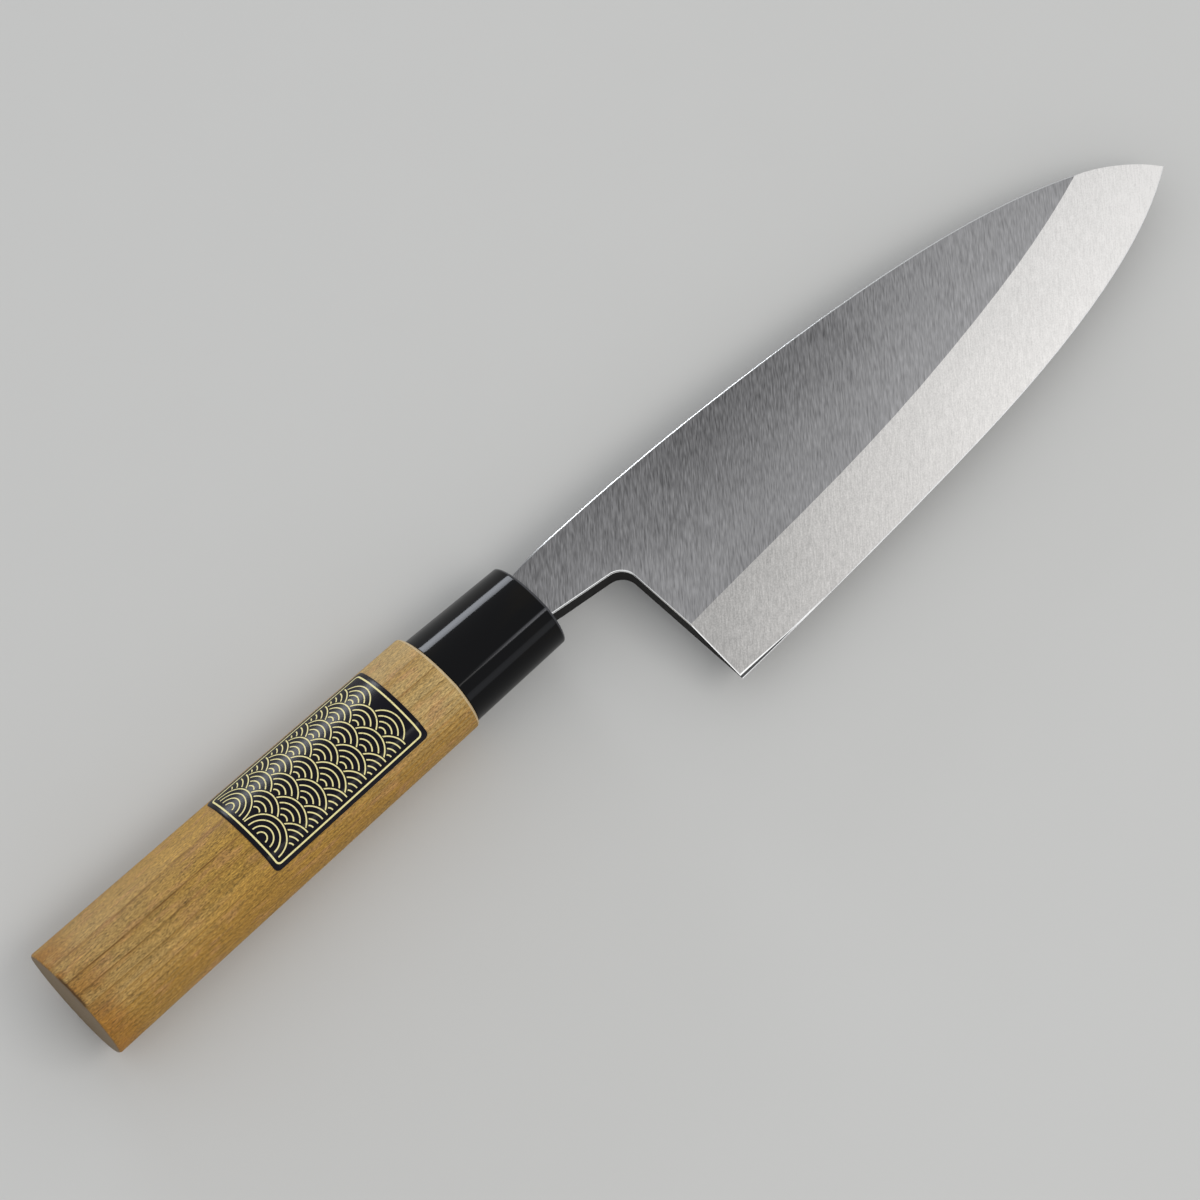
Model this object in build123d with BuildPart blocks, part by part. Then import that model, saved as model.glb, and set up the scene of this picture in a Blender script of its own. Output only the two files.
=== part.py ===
from build123d import *
import os

os.makedirs("parts", exist_ok=True)

# A right-handed deba, the thick fish knife of a Japanese kitchen, in millimetres.
# The origin is the middle of the butt. +X runs along the handle to the tip,
# +Y is the spine's side, and +Z comes out of the bevelled face.

# Handle wood, which narrows from the butt to the mouth, where the ferrule starts
grip_length = 102.5
butt_width = 29.0
butt_thickness = 23.8
mouth_width = 26.2
mouth_thickness = 22.4
butt_ease = 0.7
mouth_ease = 1.0

# Handle section: a full crown rises from the spine's side to a soft ridge, and a
# steeper flank falls from it to the edge's side. Thickness is taken at the ridge.
ridge_share = -0.27
crown_bulge_share = 0.18
flank_bulge_share = 0.14
spine_round_share = 0.22
ridge_round_share = 0.06
flank_round_share = 0.16

# Ferrule: a solid-nosed cap glued over the wood's tenon
ferrule_length = 25.8
ferrule_back_width = 23.8
ferrule_back_thickness = 20.4
ferrule_back_drop = 0.4
ferrule_front_width = 22.3
ferrule_front_thickness = 19.2
ferrule_front_drop = 0.75
ferrule_front_ease = 0.8
ferrule_back_ease = 0.3
ferrule_nose = 5.0

# Tenon of the wood, which leaves the ferrule a wall of this much at its front
ferrule_wall = 2.0
tenon_side_gap = 0.1
tenon_end_gap = 0.2

# Blade outline, seen from the bevelled face
heel_setback = 21.4
blade_length = 148.0
spine_rise = 6.6
heel_drop = 43.4
tip_drop = 21.3
neck_top = 5.7
neck_bottom = 6.4
neck_run = 10.5
choil_setback = 19.4
choil_drop = 8.9
choil_round = 4.2

# Blade thickness along the spine, and the ground faces
neck_thickness = 5.6
heel_thickness = 5.2
tip_thickness = 1.7
taper_power = 1.6
taper_shares = (0.0, 0.25, 0.5, 0.75, 1.0)
bevel_heel_width = 15.1
bevel_reach_share = 0.15
edge_land = 0.12
heel_land = 0.3
heel_land_length = 19.0
keen_edge = 0.05
keen_width = 1.0
keen_rise_share = 0.7
keen_reach_share = 1.0
spine_ease = 0.35

# Hard steel under the soft steel, and the shallow hollow ground in its back. It starts
# a little off the ferrule, and the soft steel behind it stands in by the relief.
steel_thickness = 1.7
steel_start_gap = 3.0
neck_relief = 0.15
hollow_depth = 0.3
hollow_width = 30.0
hollow_length = 124.0
hollow_middle_share = 0.47
hollow_drop_share = -0.42
hollow_slope_share = 0.02

# Tang and what holds it
shoulder_depth = 3.2
tang_length = 88.0
tang_root_height = 9.6
tang_end_height = 4.6
tang_root_thickness = 3.6
tang_end_thickness = 2.6
bedding_gap = 0.8
seal_gap = 0.6
seal_recess = 0.3
slot_corner_share = 0.3

# Paper label on the wood
label_start = 48.1
label_length = 43.1
label_spine_reach = 12.1
label_edge_reach = 10.4
label_thickness = 0.25
label_corner = 1.2

# One overrun that every cut runs past a face by, and how square to Z a wall has to be
overrun = 2.0
square_limit = 0.001

# Places that follow from the sizes above
mouth_x = grip_length
nose_x = grip_length + ferrule_length
socket_end_x = nose_x - ferrule_nose
tenon_length = ferrule_length - ferrule_nose - tenon_end_gap
shoulder_x = nose_x - shoulder_depth
tang_end_x = nose_x - tang_length
back_z = -neck_thickness / 2
steel_top_z = back_z + steel_thickness
steel_start_x = nose_x + steel_start_gap
heel_x = nose_x + heel_setback
tip_x = heel_x + blade_length
neck_height = neck_top + neck_bottom
neck_middle_y = (neck_top - neck_bottom) / 2
tang_middle_z = steel_top_z + tang_root_thickness / 2
slot_height = neck_height + 2 * seal_gap
slot_width = neck_thickness + 2 * seal_gap
spine_fall = spine_rise + tip_drop
edge_climb = heel_drop - tip_drop

# Spine: how far along the blade, and what part of its whole fall to the tip
spine_shares = [
    (0.12, 0.002),
    (0.33, 0.056),
    (0.56, 0.170),
    (0.74, 0.335),
    (0.88, 0.565),
    (0.955, 0.775),
]
# Edge and bevel: how far along the blade, what part of the edge's climb to the tip,
# and the bevel's width there as a part of its width at the heel
edge_shares = [
    (-0.03, -0.007, 1.00),
    (0.00, 0.000, 1.00),
    (0.065, 0.015, 1.02),
    (0.13, 0.033, 1.03),
    (0.27, 0.079, 1.04),
    (0.45, 0.155, 1.09),
    (0.59, 0.239, 1.165),
    (0.73, 0.378, 1.22),
    (0.83, 0.529, 1.25),
    (0.925, 0.742, 1.25),
    (1.00, 1.000, 1.20),
    (1.03, 1.140, 1.17),
]


def along(share):
    """X of a place that is this share of the way from the heel to the tip."""
    return heel_x + share * blade_length


def edge_line():
    """Points of the cutting edge, run on a little past the heel and the tip."""
    return [(along(s), -heel_drop + climb * edge_climb) for s, climb, _ in edge_shares]


def bulge_point(start, end, bulge_share):
    """Middle point of an arc that stands off its chord by a share of the chord."""
    chord = Vector(*end) - Vector(*start)
    outward = Vector(chord.Y, -chord.X) * bulge_share
    middle = (Vector(*start) + Vector(*end)) / 2 + outward
    return (middle.X, middle.Y)


def chestnut(x, width, thickness, drop):
    """Section of the handle at x, Y across and Z up, set down by drop to the edge's side."""
    spine_side = (width / 2 - drop, 0)
    ridge = (ridge_share * width - drop, thickness / 2)
    flank = (-width / 2 - drop, 0)
    with BuildSketch(Plane.YZ.offset(x)) as section:
        with BuildLine():
            ThreePointArc(spine_side, bulge_point(spine_side, ridge, crown_bulge_share), ridge)
            ThreePointArc(ridge, bulge_point(ridge, flank, flank_bulge_share), flank)
            ThreePointArc(flank, (-drop, -thickness / 2), spine_side)
        make_face()
        for corner, round_share in (
            (flank, flank_round_share),
            (ridge, ridge_round_share),
            (spine_side, spine_round_share),
        ):
            fillet(section.vertices().sort_by_distance(corner)[0], round_share * width)
    return section.sketch


def grip_sections(growth):
    """The wood's two end sections, grown outwards by one distance."""
    butt = chestnut(0, butt_width + 2 * growth, butt_thickness + 2 * growth, 0)
    mouth = chestnut(mouth_x, mouth_width + 2 * growth, mouth_thickness + 2 * growth, 0)
    return [butt, mouth]


def tenon_section(growth):
    """The tenon's section at the mouth, grown outwards by one distance."""
    inset = 2 * (ferrule_wall - growth)
    width = ferrule_front_width - inset
    return chestnut(mouth_x, width, ferrule_front_thickness - inset, ferrule_front_drop)


def tang_sections(growth):
    """The tang's end and root sections, grown outwards by one distance."""
    sections = []
    for x, height, thickness in (
        (tang_end_x - growth, tang_end_height, tang_end_thickness),
        (shoulder_x, tang_root_height, tang_root_thickness),
    ):
        with BuildSketch(Plane.YZ.offset(x)) as section:
            with Locations((neck_middle_y, tang_middle_z)):
                Rectangle(height + 2 * growth, thickness + 2 * growth)
        sections.append(section.sketch)
    return sections


def blade_outline():
    """The blade with its neck, seen from the bevelled face."""
    tip = (tip_x, -tip_drop)
    heel = (heel_x, -heel_drop)
    choil = (nose_x + choil_setback, -choil_drop)
    neck_end = (nose_x + neck_run, spine_rise)
    spine = [(along(s), spine_rise - fall * spine_fall) for s, fall in spine_shares]
    edge = [(x, y) for x, y in edge_line() if heel_x < x < tip_x]
    with BuildSketch(Plane.XY.offset(back_z)) as outline:
        with BuildLine():
            Line((shoulder_x, neck_top), (nose_x, neck_top))
            Spline((nose_x, neck_top), neck_end, tangents=((neck_run, spine_rise - neck_top), (1, 0)))
            Spline(neck_end, *spine, tip)
            Spline(heel, *edge, tip)
            Line(heel, choil)
            Line(choil, (nose_x, -neck_bottom))
            Line((nose_x, -neck_bottom), (shoulder_x, -neck_bottom))
            Line((shoulder_x, -neck_bottom), (shoulder_x, neck_top))
        make_face()
        fillet(outline.vertices().sort_by_distance(choil)[0], choil_round)
    return outline.sketch


def flat_z(x):
    """Height of the bevelled side's flat at x: it thins slowly, then faster to the tip."""
    if x < heel_x:
        share = (x - nose_x) / heel_setback
        return back_z + neck_thickness + (heel_thickness - neck_thickness) * share
    share = (x - heel_x) / blade_length
    return back_z + heel_thickness + (tip_thickness - heel_thickness) * share**taper_power


def side_profile():
    """The blade seen from its edge, with the flat thinning towards the tip."""
    end_x = tip_x + overrun
    flat = [(along(s), flat_z(along(s))) for s in taper_shares]
    with BuildSketch(Plane.XZ.offset(-spine_rise - overrun)) as profile:
        with BuildLine():
            Line((shoulder_x, back_z), (shoulder_x, flat_z(nose_x)))
            Line((shoulder_x, flat_z(nose_x)), (nose_x, flat_z(nose_x)))
            Line((nose_x, flat_z(nose_x)), flat[0])
            Spline(*flat, (end_x, flat_z(end_x)))
            Line((end_x, flat_z(end_x)), (end_x, back_z))
            Line((end_x, back_z), (shoulder_x, back_z))
        make_face()
    return profile.sketch


def ground_tool(rows, reach_share):
    """Solid that takes off all above the ruled face through each row's low and high point."""
    lower = [low - (high - low) * reach_share for low, high in rows]
    upper = [high + (high - low) * reach_share for low, high in rows]
    face = Face.make_surface_from_curves(Edge.make_spline(lower), Edge.make_spline(upper))
    return extrude(face, amount=2 * neck_thickness, dir=(0, 0, 1), mode=Mode.PRIVATE)


def bevel_rows():
    """Low and high points of the wide bevel, from the edge up to its top line."""
    rows = []
    for (x, y), (_, _, width_share) in zip(edge_line(), edge_shares):
        near_heel = max(0, 1 - max(0, x - heel_x) / heel_land_length)
        land = edge_land + (heel_land - edge_land) * near_heel
        low = Vector(x, y, back_z + land)
        high = Vector(x, y + width_share * bevel_heel_width, flat_z(x))
        rows.append((low, high))
    return rows


def keen_rows():
    """Low and high points of the narrow last bevel that makes the edge keen."""
    rise = Vector(0, keen_width, keen_rise_share * keen_width)
    starts = [Vector(x, y, back_z + keen_edge) for x, y in edge_line()]
    return [(start, start + rise) for start in starts]


def handle_shell(growth):
    """The wood's outer form, grown outwards by one distance."""
    return loft(grip_sections(growth), ruled=True, mode=Mode.PRIVATE)


def rim_edge(builder, end):
    """Longest edge of an end face: a round put on it runs on all the way round the rim."""
    return builder.faces().sort_by(Axis.X)[end].edges().sort_by(SortBy.LENGTH)[-1]


def save(builder, label):
    """Name a finished piece and write its file."""
    builder.part.label = label
    export_step(builder.part, f"parts/{label}.step")
    print(f"{label}: {builder.part.volume:.1f} mm3")


# Whole blade as ground, before it is told apart into its two steels
with BuildPart() as blade:
    extrude(blade_outline(), amount=neck_thickness)
    extrude(side_profile(), amount=spine_rise + heel_drop + 2 * overrun, mode=Mode.INTERSECT)
    add(ground_tool(bevel_rows(), bevel_reach_share), mode=Mode.SUBTRACT)
    add(ground_tool(keen_rows(), keen_reach_share), mode=Mode.SUBTRACT)
    walls = blade.faces().filter_by(lambda face: abs(face.normal_at().Z) < square_limit)
    rims = ShapeList(wall.edges().sort_by(Axis.Z)[-1] for wall in walls)
    rims = rims.filter_by(lambda rim: rim.center().Z > steel_top_z and rim.center().X > shoulder_x)
    fillet(rims, spine_ease)

# Space that the hard steel takes under the soft one
with BuildPart() as steel_space:
    with BuildSketch(Plane.XY.offset(steel_top_z)) as plan:
        with Locations((steel_start_x, 0)):
            Rectangle(
                blade_length + heel_setback + overrun,
                2 * (heel_drop + overrun),
                align=(Align.MIN, Align.CENTER),
            )
    extrude(amount=-steel_thickness - overrun)

# Barrel that touches the back along an oval and sinks in by the hollow's depth
barrel_x = heel_x + hollow_middle_share * blade_length
barrel_y = hollow_drop_share * heel_drop
barrel_radius = (hollow_width / 2) ** 2 / (2 * hollow_depth)
barrel_bow = (hollow_length / 2) ** 2 / (2 * hollow_depth)
with BuildPart() as barrel:
    axis_plane = Plane(
        origin=(barrel_x, barrel_y, back_z + hollow_depth - barrel_radius),
        x_dir=(1, hollow_slope_share, 0),
        z_dir=(hollow_slope_share, -1, 0),
    )
    with BuildSketch(axis_plane) as barrel_side:
        with BuildLine():
            end = hollow_length / 2 + overrun
            drop = end**2 / (2 * barrel_bow)
            ThreePointArc((-end, barrel_radius - drop), (0, barrel_radius), (end, barrel_radius - drop))
            Line((end, barrel_radius - drop), (end, 0))
            Line((end, 0), (-end, 0))
            Line((-end, 0), (-end, barrel_radius - drop))
        make_face()
    revolve(axis=Axis(axis_plane.origin, axis_plane.x_dir))

with BuildPart() as edge_steel:
    add(blade.part)
    add(steel_space.part, mode=Mode.INTERSECT)
    add(barrel.part, mode=Mode.SUBTRACT)
save(edge_steel, "edge_steel")

with BuildPart() as blade_cladding:
    add(blade.part)
    add(steel_space.part, mode=Mode.SUBTRACT)
    with BuildSketch(Plane.XY.offset(back_z + neck_relief)) as relief:
        with Locations((steel_start_x, 0)):
            Rectangle(heel_setback, 2 * heel_drop, align=(Align.MAX, Align.CENTER))
    extrude(amount=-overrun, mode=Mode.SUBTRACT)
    loft(tang_sections(0), ruled=True)
save(blade_cladding, "blade_cladding")

with BuildPart() as ferrule:
    loft(
        [
            chestnut(mouth_x, ferrule_back_width, ferrule_back_thickness, ferrule_back_drop),
            chestnut(nose_x, ferrule_front_width, ferrule_front_thickness, ferrule_front_drop),
        ],
        ruled=True,
    )
    fillet(rim_edge(ferrule, -1), ferrule_front_ease)
    fillet(rim_edge(ferrule, 0), ferrule_back_ease)
    extrude(tenon_section(tenon_side_gap), amount=ferrule_length - ferrule_nose, mode=Mode.SUBTRACT)
    with BuildSketch(Plane.YZ.offset(socket_end_x - overrun)) as slot:
        with Locations((neck_middle_y, 0)):
            RectangleRounded(slot_height, slot_width, slot_corner_share * slot_width)
    extrude(amount=ferrule_nose + 2 * overrun, mode=Mode.SUBTRACT)
save(ferrule, "ferrule")

with BuildPart() as grip:
    add(handle_shell(0))
    fillet(rim_edge(grip, 0), butt_ease)
    fillet(rim_edge(grip, -1), mouth_ease)
    extrude(tenon_section(0), amount=tenon_length)
    loft(tang_sections(bedding_gap), ruled=True, mode=Mode.SUBTRACT)
save(grip, "grip")

with BuildPart() as tang_bedding:
    loft(tang_sections(bedding_gap), ruled=True)
    split(bisect_by=Plane.YZ.offset(mouth_x + tenon_length), keep=Keep.BOTTOM)
    loft(tang_sections(0), ruled=True, mode=Mode.SUBTRACT)
save(tang_bedding, "tang_bedding")

with BuildPart() as neck_seal:
    with BuildSketch(Plane.YZ.offset(socket_end_x)) as seal:
        with Locations((neck_middle_y, 0)):
            RectangleRounded(slot_height, slot_width, slot_corner_share * slot_width)
    extrude(amount=ferrule_nose - seal_recess)
    add(blade_cladding.part, mode=Mode.SUBTRACT)
save(neck_seal, "neck_seal")

with BuildPart() as label:
    with BuildSketch(Plane.XY) as patch:
        with Locations((label_start + label_length / 2, (label_spine_reach - label_edge_reach) / 2)):
            RectangleRounded(label_length, label_spine_reach + label_edge_reach, label_corner)
    extrude(amount=butt_thickness)
    add(handle_shell(label_thickness), mode=Mode.INTERSECT)
    add(handle_shell(0), mode=Mode.SUBTRACT)
save(label, "label")
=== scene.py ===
# %% [markdown]
# # A deba, the thick fish knife of a Japanese kitchen
# The solids of the knife are already built and packed. This lesson loads them as a frame that
# never moves, then dresses them: two steels, a black horn ferrule, bare wood and a printed
# paper label. Lengths are metres, +X runs from the butt to the tip, +Y is the spine's side
# and +Z comes out of the bevelled side.

# %% Load the frame
import math

import bpy
import numpy as np
from mathutils import Matrix, Vector


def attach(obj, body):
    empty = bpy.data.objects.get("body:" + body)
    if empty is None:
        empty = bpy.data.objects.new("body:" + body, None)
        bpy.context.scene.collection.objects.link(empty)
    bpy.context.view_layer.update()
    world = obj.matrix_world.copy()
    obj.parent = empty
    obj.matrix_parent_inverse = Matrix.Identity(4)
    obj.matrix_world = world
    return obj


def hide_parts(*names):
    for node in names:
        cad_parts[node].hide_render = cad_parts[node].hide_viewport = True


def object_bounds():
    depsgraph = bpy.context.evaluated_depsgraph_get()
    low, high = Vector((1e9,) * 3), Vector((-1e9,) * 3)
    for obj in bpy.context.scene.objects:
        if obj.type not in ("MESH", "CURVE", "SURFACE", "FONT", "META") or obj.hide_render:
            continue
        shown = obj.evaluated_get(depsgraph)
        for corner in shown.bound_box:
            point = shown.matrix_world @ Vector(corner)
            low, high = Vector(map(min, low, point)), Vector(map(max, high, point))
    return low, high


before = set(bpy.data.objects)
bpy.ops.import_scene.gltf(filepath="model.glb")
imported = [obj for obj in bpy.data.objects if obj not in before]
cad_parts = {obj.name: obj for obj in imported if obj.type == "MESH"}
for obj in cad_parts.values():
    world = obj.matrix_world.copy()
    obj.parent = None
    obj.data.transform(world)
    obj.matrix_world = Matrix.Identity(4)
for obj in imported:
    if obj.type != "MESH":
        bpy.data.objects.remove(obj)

MM = 0.001
cad_low, cad_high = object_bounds()
print("frame nodes:", sorted(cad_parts))
print("frame box, mm:", [round(v / MM, 1) for v in (*cad_low, *cad_high)])

# %% [markdown]
# ## Camera
# The photograph was taken from far away with a long lens, a little past the top of the knife.
# A camera is easiest to think of as a point it looks at, a distance, two angles and a roll.
# The matrix is built from those: its third column points back from the subject to the lens.

# %% Camera
LOOK_AT = Vector((0.1394, -0.0104, 0.0))
VIEW_AZIMUTH = math.radians(-37.89)
VIEW_ELEVATION = math.radians(69.81)
VIEW_ROLL = math.radians(5.57)
VIEW_DISTANCE = 1.1174
LENS_MM, SENSOR_MM = 158.15, 36
CLIP_END = 20

back = Vector((
    math.sin(VIEW_AZIMUTH) * math.cos(VIEW_ELEVATION),
    -math.cos(VIEW_AZIMUTH) * math.cos(VIEW_ELEVATION),
    math.sin(VIEW_ELEVATION),
))
level = Vector((0, 0, 1)).cross(back).normalized()
upright = back.cross(level)
up = math.cos(VIEW_ROLL) * upright + math.sin(VIEW_ROLL) * level
right = up.cross(back)

camera_data = bpy.data.cameras.new("camera")
camera_data.lens = LENS_MM
camera_data.sensor_width = SENSOR_MM
camera_data.clip_end = CLIP_END
camera = bpy.data.objects.new("camera", camera_data)
bpy.context.scene.collection.objects.link(camera)
turn = Matrix((right, up, back)).transposed().to_4x4()
camera.matrix_world = Matrix.Translation(LOOK_AT + VIEW_DISTANCE * back) @ turn
bpy.context.scene.camera = camera
print("camera stands at, mm:", [round(v / MM) for v in camera.location])

# %% [markdown]
# ## Floor and light
# The knife is shown on a plain pale floor at the height of its lowest point. The sky is an
# even pale grey, which gives polished steel something quiet to mirror. A wide lamp stands on
# the edge's side: the bevel leans towards it and turns bright, while the flat looks past it.
# A long low lamp on the spine's side draws the bright stripe along the black ferrule, and a
# faint one low on the edge's side draws the dim stripe across from it.

# %% Floor and light
bpy.context.scene.view_settings.view_transform = "Standard"
LIT_CENTRE = Vector((0.15, -0.01, 0))
FLOOR_SIZE = 6.0
FLOOR_COLOUR = (0.60, 0.595, 0.58, 1)
SKY_COLOUR = (0.96, 0.98, 1.0, 1)
SKY_STRENGTH = 0.72
WARM_WHITE = (1.0, 0.985, 0.96)
COOL_WHITE = (0.88, 0.92, 1.0)

floor_z = cad_low.z
half = FLOOR_SIZE / 2
floor_mesh = bpy.data.meshes.new("floor")
floor_corners = [(x * half, y * half, floor_z) for x, y in ((-1, -1), (1, -1), (1, 1), (-1, 1))]
floor_mesh.from_pydata(floor_corners, [], [(0, 1, 2, 3)])
floor = bpy.data.objects.new("floor", floor_mesh)
bpy.context.scene.collection.objects.link(floor)

world = bpy.data.worlds.new("studio")
world.use_nodes = True
world.node_tree.nodes["Background"].inputs["Color"].default_value = SKY_COLOUR
world.node_tree.nodes["Background"].inputs["Strength"].default_value = SKY_STRENGTH
bpy.context.scene.world = world


def lamp(name, direction, distance, size, spread, watts, colour):
    """A soft lamp, size wide by high, that faces the knife from a direction, unseen by the camera."""
    data = bpy.data.lights.new(name, "AREA")
    data.shape = "RECTANGLE"
    data.size, data.size_y = size
    data.spread = math.radians(spread)
    data.energy = watts
    data.color = colour
    light = bpy.data.objects.new(name, data)
    bpy.context.scene.collection.objects.link(light)
    towards = Vector(direction).normalized()
    light.location = LIT_CENTRE + distance * towards
    light.rotation_euler = towards.to_track_quat("Z", "Y").to_euler()
    light.visible_camera = False
    print(f"{name}: {watts} W, {size[0]} by {size[1]} m, {distance} m away")


lamp(
    "wide_lamp", (0.22, -0.53, 0.81), distance=1.8, size=(1.3, 0.7), spread=180, watts=9,
    colour=WARM_WHITE,
)
lamp(
    "low_lamp", (0.19, 0.96, 0.13), distance=1.5, size=(0.5, 0.38), spread=50, watts=0.55,
    colour=COOL_WHITE,
)
lamp(
    "edge_lamp", (0.21, -0.965, 0.145), distance=1.5, size=(0.5, 0.44), spread=50, watts=0.05,
    colour=COOL_WHITE,
)

# %% [markdown]
# ## Arithmetic on sockets
# A shader is a graph, but its maths reads better as a formula. This class wraps one output
# socket and overloads the arithmetic operators, so `1 - mask * 0.5` adds the Math nodes by
# itself. The reflected forms, such as `__rsub__`, are what let a plain number come first. A
# noise is swung about its mean, so it makes a tone uneven without making it lighter or darker.


# %% Arithmetic on sockets
class Wire:
    """One output socket. Sums with it add Math nodes to its material."""

    def __init__(self, finish, socket):
        self.finish = finish
        self.socket = socket

    def math(self, operation, *others, flip=False):
        """A Math node on this value and others; flip swaps the first two."""
        values = [self, *others]
        if flip:
            values[0], values[1] = values[1], values[0]
        return self.finish.add("ShaderNodeMath", {"operation": operation}, dict(enumerate(values)))

    def __add__(self, other):
        return self.math("ADD", other)

    def __sub__(self, other):
        return self.math("SUBTRACT", other)

    def __rsub__(self, other):
        return self.math("SUBTRACT", other, flip=True)

    def __mul__(self, other):
        return self.math("MULTIPLY", other)

    def __truediv__(self, other):
        return self.math("DIVIDE", other)

    def __mod__(self, other):
        return self.math("FLOORED_MODULO", other)

    __radd__ = __add__
    __rmul__ = __mul__

    def ramp(self, low, high):
        """0 below low, 1 above high, a smooth step between. With low above high it falls."""
        sockets = {"Value": self, "From Min": low, "From Max": high}
        return self.finish.add("ShaderNodeMapRange", {"interpolation_type": "SMOOTHSTEP"}, sockets)

    def band(self, low, high, soft):
        """1 between low and high, fading out over soft on each side."""
        return self.ramp(low - soft, low) * self.ramp(high + soft, high)

    def swing(self, weight):
        """A noise taken about its mean of a half, times a weight."""
        return (self - 0.5) * weight


class Finish:
    """A node material in the making."""

    def __init__(self, name):
        self.material = bpy.data.materials.new(name)
        self.material.use_nodes = True
        self.tree = self.material.node_tree
        self.tree.nodes.clear()

    def add(self, kind, settings=None, sockets=None, output=0):
        """Adds one node: its settings are set first, then its sockets get values or links."""
        node = self.tree.nodes.new(kind)
        for name, value in (settings or {}).items():
            setattr(node, name, value)
        for key, value in (sockets or {}).items():
            if isinstance(value, Wire):
                self.tree.links.new(value.socket, node.inputs[key])
            else:
                node.inputs[key].default_value = value
        return Wire(self, node.outputs[output]) if node.outputs else None

    def place(self):
        """Object coordinates in millimetres: the vector, then x, y and z on their own."""
        metres = self.add("ShaderNodeTexCoord", output="Object")
        vector = self.add("ShaderNodeVectorMath", {"operation": "SCALE"}, {0: metres, "Scale": 1 / MM})
        parts = [self.add("ShaderNodeSeparateXYZ", sockets={0: vector}, output=k) for k in range(3)]
        return vector, *parts

    def facing(self):
        """The x, y and z of the surface's own normal, in the object's directions."""
        normal = self.add("ShaderNodeTexCoord", output="Normal")
        return [self.add("ShaderNodeSeparateXYZ", sockets={0: normal}, output=k) for k in range(3)]

    def noise(self, vector, stretch, detail=3.0, turn=0.0):
        """Noise of 0 to 1 on a vector turned about Z, stretched by so many cells per millimetre."""
        turned = vector
        if turn:
            sockets = {"Vector": vector, "Rotation": (0, 0, turn)}
            turned = self.add("ShaderNodeMapping", {"vector_type": "POINT"}, sockets)
        cells = self.add("ShaderNodeVectorMath", {"operation": "MULTIPLY"}, {0: turned, 1: stretch})
        sockets = {"Vector": cells, "Scale": 1.0, "Detail": detail}
        return self.add("ShaderNodeTexNoise", {"noise_dimensions": "3D"}, sockets)

    def mix(self, factor, first, second):
        """First colour where factor is 0, second where it is 1."""
        sockets = {0: factor, 6: first, 7: second}
        return self.add("ShaderNodeMix", {"data_type": "RGBA"}, sockets, output=2)

    def scale(self, colour, amount):
        """The colour made brighter or darker: all three parts times amount."""
        return self.add("ShaderNodeVectorMath", {"operation": "SCALE"}, {0: colour, "Scale": amount})

    def bump(self, height, depth_mm, strength=1.0):
        """A normal bent by a height of 0 to 1 that stands for this many millimetres."""
        sockets = {"Height": height, "Distance": depth_mm * MM, "Strength": strength}
        return self.add("ShaderNodeBump", sockets=sockets)

    def shade(self, **sockets):
        """Closes the material with one Principled shader; underscores stand for spaces."""
        named = {name.replace("_", " "): value for name, value in sockets.items()}
        shader = self.add("ShaderNodeBsdfPrincipled", sockets=named)
        self.add("ShaderNodeOutputMaterial", sockets={"Surface": shader})
        print("finish ready:", self.material.name, len(self.tree.nodes), "nodes")
        return self.material


def wear(obj, material):
    """Gives an object this material alone."""
    obj.data.materials.clear()
    obj.data.materials.append(material)


# %% [markdown]
# ## Floor finish
# The floor is one pale colour with a cloud in it too faint to notice. It only has to catch the
# knife's soft shadow.

# %% Floor finish
FLOOR_CLOUD = (0.05, 0.05, 0.05)
FLOOR_SHADED = tuple(0.985 * v for v in FLOOR_COLOUR)
FLOOR_ROUGHNESS, FLOOR_GLOSS = 0.9, 0.2

floor_finish = Finish("pale_floor")
floor_cloud = floor_finish.noise(floor_finish.place()[0], FLOOR_CLOUD)
floor_tone = floor_finish.mix(floor_cloud, FLOOR_COLOUR, FLOOR_SHADED)
wear(floor, floor_finish.shade(
    Base_Color=floor_tone, Roughness=FLOOR_ROUGHNESS, Specular_IOR_Level=FLOOR_GLOSS
))

# %% [markdown]
# ## Blade lines
# The grinding and the painted reflection change from heel to tip and from spine to edge, so
# the shader has to know where it is. Two curves fitted to the blade give the height of its spine
# and its edge at every x. At the heel the last bevel is wide enough to see, and a painted
# highlight runs as a thin bright line along its top and down the heel's wall.

# %% Blade lines
HEEL_X, BLADE_LENGTH = 149.7, 148.0
SPINE_RISE, SPINE_FALL, SPINE_TERMS = 6.6, 27.9, ((0.66, 2.3), (0.34, 12.8))
HEEL_DROP, EDGE_CLIMB, EDGE_TERMS = 43.4, 22.1, ((0.44, 1.3), (0.56, 6.05))
HEEL_LEAN = 0.058
KEEN_WIDE, KEEN_LEAST, KEEN_FADE, KEEN_END = 0.64, 0.1, 19, 8
# Width and softness of the painted highlight lines at the heel.
HIGHLIGHT_WIDTH, HIGHLIGHT_SOFT, KEEN_SOFT = 0.2, 0.15, 0.1


def powers(along, terms):
    """A curve of two terms, each a weight and a power of along."""
    (weight, power), (last_weight, last_power) = terms
    return weight * along.math("POWER", power) + last_weight * along.math("POWER", last_power)


def blade_lines(x):
    """How far along the blade x is, and the height of its spine and edge there."""
    along = (x - HEEL_X) / BLADE_LENGTH
    along = along.math("MAXIMUM", 0.0).math("MINIMUM", 1.0)
    spine = SPINE_RISE - SPINE_FALL * powers(along, SPINE_TERMS)
    edge = EDGE_CLIMB * powers(along, EDGE_TERMS) - HEEL_DROP
    return along, spine, edge


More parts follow.
